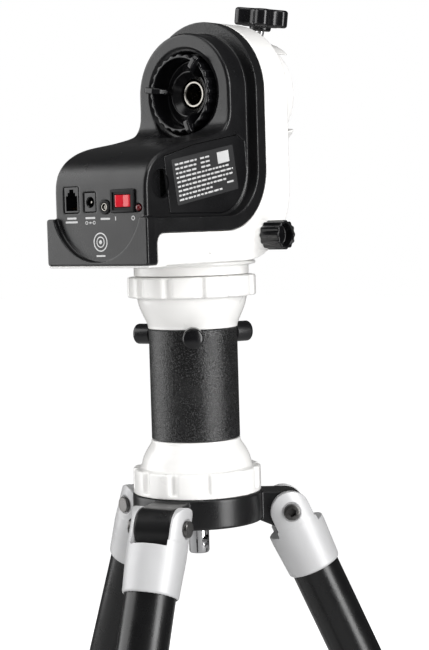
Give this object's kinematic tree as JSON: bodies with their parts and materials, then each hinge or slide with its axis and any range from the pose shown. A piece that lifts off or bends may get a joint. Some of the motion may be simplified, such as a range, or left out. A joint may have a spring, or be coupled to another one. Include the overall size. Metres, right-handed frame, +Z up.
{
  "type": "star tracker mount",
  "caption": "Motorised altitude-azimuth head with a dovetail saddle and a control panel, on an extension pillar and a folding tripod with telescoping legs.",
  "frame": {"origin": "on the floor, at the centre of the box round the three feet, 45 mm to the left of the azimuth axis and 35 mm in front of it (the axis stands at +X, +Y)", "axes": "+Z up; the control panel faces -Y, the saddle faces +Y, the battery door and the azimuth lock knob are on +X"},
  "size_m": [0.5413, 0.5511, 0.9289],
  "materials": {
    "white_paint": "glossy white paint on castings",
    "black_plastic": "satin black plastic with a fine texture",
    "gloss_black": "glossy black plastic",
    "black_leg_tube": "glossy black painted tube",
    "black_powder_coat": "black powder coat with a fine sparkle",
    "black_metal": "semi-gloss black metal",
    "cast_silver": "satin silver-grey die casting",
    "silver_tube": "satin drawn tube",
    "steel": "turned steel",
    "chrome": "bright plating",
    "rubber": "matt black rubber",
    "red_plastic": "translucent red rocker",
    "red_lens": "dark red lens",
    "label_film": "dark printed film",
    "brass": "machined brass",
    "circuit_board": "green solder mask"
  },
  "bodies": {
    "stand": {"tripod_hub": "black_metal", "pillar_lower_adapter": "white_paint", "pillar_tube": "black_powder_coat", "pillar_upper_adapter": "white_paint", "head_clamp_screw": "steel", "azimuth_base": "white_paint", "azimuth_worm_wheel": "brass"},
    "clamp_screw": {"pillar_clamp_screw": "chrome"},
    "head": {"head_casting": "white_paint", "front_cover": "black_plastic", "hand_control_socket": "gloss_black", "power_socket": "gloss_black", "snap_socket": "chrome", "switch_bezel": "gloss_black", "power_led": "red_lens", "altitude_bearing": "steel", "altitude_motor": "steel", "azimuth_motor": "steel", "altitude_worm": "steel", "azimuth_worm": "steel", "battery_holder": "gloss_black", "control_board": "circuit_board"},
    "battery_door": {"battery_door": "black_plastic", "rating_label": "label_film"},
    "altitude": {"altitude_shaft": "steel", "altitude_worm_wheel": "brass", "saddle_body": "white_paint"},
    "clutch_wheel": {"altitude_clutch_wheel": "gloss_black"},
    "azimuth_lock": {"azimuth_lock_knob": "gloss_black"},
    "rocker": {"switch_rocker": "red_plastic"},
    "jaw": {"saddle_jaw": "black_metal"},
    "star_knob": {"saddle_star_knob": "gloss_black"},
    "thumbscrew_1": {"pillar_thumbscrew_1": "gloss_black"},
    "thumbscrew_2": {"pillar_thumbscrew_2": "gloss_black"},
    "thumbscrew_3": {"pillar_thumbscrew_3": "gloss_black"},
    "leg_1": {"leg_clevis_1": "cast_silver", "leg_pivot_bolt_1": "black_metal", "upper_leg_tube_1": "black_leg_tube", "leg_lock_collar_1": "gloss_black"},
    "lower_leg_1": {"lower_leg_tube_1": "silver_tube", "foot_1": "rubber"},
    "leg_lock_1": {"leg_lock_knob_1": "gloss_black"},
    "leg_2": {"leg_clevis_2": "cast_silver", "leg_pivot_bolt_2": "black_metal", "upper_leg_tube_2": "black_leg_tube", "leg_lock_collar_2": "gloss_black"},
    "lower_leg_2": {"lower_leg_tube_2": "silver_tube", "foot_2": "rubber"},
    "leg_lock_2": {"leg_lock_knob_2": "gloss_black"},
    "leg_3": {"leg_clevis_3": "cast_silver", "leg_pivot_bolt_3": "black_metal", "upper_leg_tube_3": "black_leg_tube", "leg_lock_collar_3": "gloss_black"},
    "lower_leg_3": {"lower_leg_tube_3": "silver_tube", "foot_3": "rubber"},
    "leg_lock_3": {"leg_lock_knob_3": "gloss_black"}
  },
  "joints": [
    {"name": "clamp_screw_turn", "type": "hinge", "parent": "stand", "child": "clamp_screw", "pos_m": [0.04532, 0.03487, 0.5595], "axis": [0, 0, 1], "continuous": true},
    {"name": "thumbscrew_1_turn", "type": "hinge", "parent": "stand", "child": "thumbscrew_1", "pos_m": [0.07156, 0.00468, 0.6989], "axis": [0.6561, -0.7547, 0], "range_deg": [0, 720]},
    {"name": "thumbscrew_2_turn", "type": "hinge", "parent": "stand", "child": "thumbscrew_2", "pos_m": [0.05835, 0.07269, 0.6989], "axis": [0.3256, 0.9455, 0], "range_deg": [0, 720]},
    {"name": "thumbscrew_3_turn", "type": "hinge", "parent": "stand", "child": "thumbscrew_3", "pos_m": [0.00606, 0.02724, 0.6989], "axis": [-0.9816, -0.1908, 0], "range_deg": [0, 720]},
    {"name": "azimuth_turn", "type": "hinge", "parent": "stand", "child": "head", "pos_m": [0.04532, 0.03487, 0.7495], "axis": [0, 0, 1], "continuous": true},
    {"name": "altitude_turn", "type": "hinge", "parent": "head", "child": "altitude", "pos_m": [0.04532, 0.06287, 0.864], "axis": [0, 1, 0], "continuous": true},
    {"name": "clutch_wheel_turn", "type": "hinge", "parent": "head", "child": "clutch_wheel", "pos_m": [0.04532, 0.03487, 0.864], "axis": [0, 1, 0], "continuous": true},
    {"name": "azimuth_lock_turn", "type": "hinge", "parent": "head", "child": "azimuth_lock", "pos_m": [0.10532, 0.05237, 0.7661], "axis": [1, 0, 0], "range_deg": [0, 360]},
    {"name": "rocker_tilt", "type": "hinge", "parent": "head", "child": "rocker", "pos_m": [0.06662, -0.05233, 0.7912], "axis": [0, 0, 1], "range_deg": [-18, 0]},
    {"name": "battery_door_lift", "type": "slide", "parent": "head", "child": "battery_door", "axis": [1, 0, 0], "range_m": [0, 0.06]},
    {"name": "star_knob_turn", "type": "hinge", "parent": "altitude", "child": "star_knob", "pos_m": [0.05298, 0.10987, 0.91846], "axis": [0.1392, 0, 0.9903], "range_deg": [0, 1800]},
    {"name": "jaw_slide", "type": "slide", "parent": "altitude", "child": "jaw", "axis": [0.1392, 0, 0.9903], "range_m": [0, 0.005]},
    {"name": "leg_1_fold", "type": "hinge", "parent": "stand", "child": "leg_1", "pos_m": [0.08801, 0.08065, 0.575], "axis": [-0.7314, 0.682, 0], "range_deg": [0, 23.5]},
    {"name": "leg_1_extend", "type": "slide", "parent": "leg_1", "child": "lower_leg_1", "axis": [0.2752, 0.2951, -0.915], "range_m": [0, 0.33]},
    {"name": "leg_1_lock_turn", "type": "hinge", "parent": "leg_1", "child": "leg_lock_1", "pos_m": [0.22157, 0.22388, 0.2078], "axis": [0.624, 0.6692, 0.4035], "range_deg": [0, 720]},
    {"name": "leg_2_fold", "type": "hinge", "parent": "stand", "child": "leg_2", "pos_m": [-0.01567, 0.04895, 0.575], "axis": [-0.225, -0.9744, 0], "range_deg": [0, 23.5]},
    {"name": "leg_2_extend", "type": "slide", "parent": "leg_2", "child": "lower_leg_2", "axis": [-0.3932, 0.0908, -0.915], "range_m": [0, 0.33]},
    {"name": "leg_2_lock_turn", "type": "hinge", "parent": "leg_2", "child": "leg_lock_2", "pos_m": [-0.20649, 0.09301, 0.2078], "axis": [-0.8915, 0.2058, 0.4035], "range_deg": [0, 720]},
    {"name": "leg_3_fold", "type": "hinge", "parent": "stand", "child": "leg_3", "pos_m": [0.06363, -0.02499, 0.575], "axis": [0.9563, 0.2924, 0], "range_deg": [0, 23.5]},
    {"name": "leg_3_extend", "type": "slide", "parent": "leg_3", "child": "lower_leg_3", "axis": [0.118, -0.3859, -0.915], "range_m": [0, 0.33]},
    {"name": "leg_3_lock_turn", "type": "hinge", "parent": "leg_3", "child": "leg_lock_3", "pos_m": [0.12088, -0.21227, 0.2078], "axis": [0.2675, -0.875, 0.4035], "range_deg": [0, 720]}
  ],
  "couplings": [
    {"joint": "clutch_wheel_turn", "follows": "altitude_turn", "ratio": 1},
    {"joint": "jaw_slide", "follows": "star_knob_turn", "m_per_rad": 0.00015915}
  ]
}
